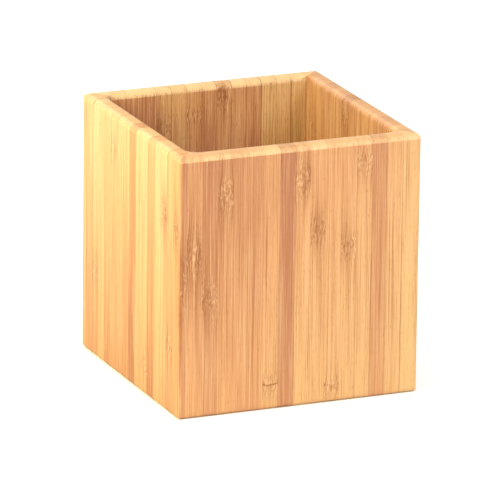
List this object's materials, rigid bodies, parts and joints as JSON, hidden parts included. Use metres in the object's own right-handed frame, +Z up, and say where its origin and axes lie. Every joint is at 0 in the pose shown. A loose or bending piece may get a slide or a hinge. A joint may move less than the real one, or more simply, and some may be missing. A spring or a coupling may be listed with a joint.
{
  "type": "square bamboo desk box",
  "caption": "Square open-topped box of edge-grain laminated bamboo with mitred walls and a rounded rim, for pens or small utensils.",
  "frame": {"origin": "middle of the footprint, on the surface that the box stands on", "axes": "+Z up, the front wall faces -Y, +X to the right seen from the front"},
  "size_m": [0.102, 0.102, 0.106],
  "materials": {
    "bamboo_honey": "satin clear coat",
    "bamboo_pale": "satin clear coat",
    "bamboo_brown": "satin clear coat"
  },
  "bodies": {
    "root": {"back_left_end_strips": "bamboo_honey", "back_right_end_strips": "bamboo_honey", "back_strip_02": "bamboo_pale", "back_strip_03": "bamboo_pale", "back_strip_04": "bamboo_pale", "back_strip_05": "bamboo_honey", "back_strip_06": "bamboo_honey", "back_strip_07": "bamboo_honey", "back_strip_08": "bamboo_honey", "back_strip_09": "bamboo_honey", "back_strip_10": "bamboo_pale", "back_strip_11": "bamboo_pale", "back_strip_12": "bamboo_brown", "back_strip_13": "bamboo_brown", "back_strip_14": "bamboo_honey", "base_panel": "bamboo_honey", "front_left_end_strips": "bamboo_honey", "front_right_end_strips": "bamboo_pale", "front_strip_03": "bamboo_brown", "front_strip_04": "bamboo_honey", "front_strip_05": "bamboo_honey", "front_strip_06": "bamboo_honey", "front_strip_07": "bamboo_honey", "front_strip_08": "bamboo_brown", "front_strip_09": "bamboo_honey", "front_strip_10": "bamboo_pale", "front_strip_11": "bamboo_honey", "front_strip_12": "bamboo_pale", "front_strip_13": "bamboo_pale", "front_strip_14": "bamboo_brown", "front_strip_15": "bamboo_pale", "left_left_end_strips": "bamboo_honey", "left_right_end_strips": "bamboo_honey", "left_strip_03": "bamboo_pale", "left_strip_04": "bamboo_pale", "left_strip_05": "bamboo_honey", "left_strip_06": "bamboo_honey", "left_strip_07": "bamboo_honey", "left_strip_08": "bamboo_honey", "left_strip_09": "bamboo_brown", "left_strip_10": "bamboo_honey", "left_strip_11": "bamboo_honey", "left_strip_12": "bamboo_brown", "left_strip_13": "bamboo_pale", "left_strip_14": "bamboo_honey", "right_left_end_strips": "bamboo_honey", "right_right_end_strips": "bamboo_honey", "right_strip_02": "bamboo_honey", "right_strip_03": "bamboo_honey", "right_strip_04": "bamboo_brown", "right_strip_05": "bamboo_honey", "right_strip_06": "bamboo_honey", "right_strip_07": "bamboo_honey", "right_strip_08": "bamboo_honey", "right_strip_09": "bamboo_brown", "right_strip_10": "bamboo_honey", "right_strip_11": "bamboo_honey", "right_strip_12": "bamboo_honey", "right_strip_13": "bamboo_honey", "right_strip_14": "bamboo_honey"}
  },
  "joints": []
}
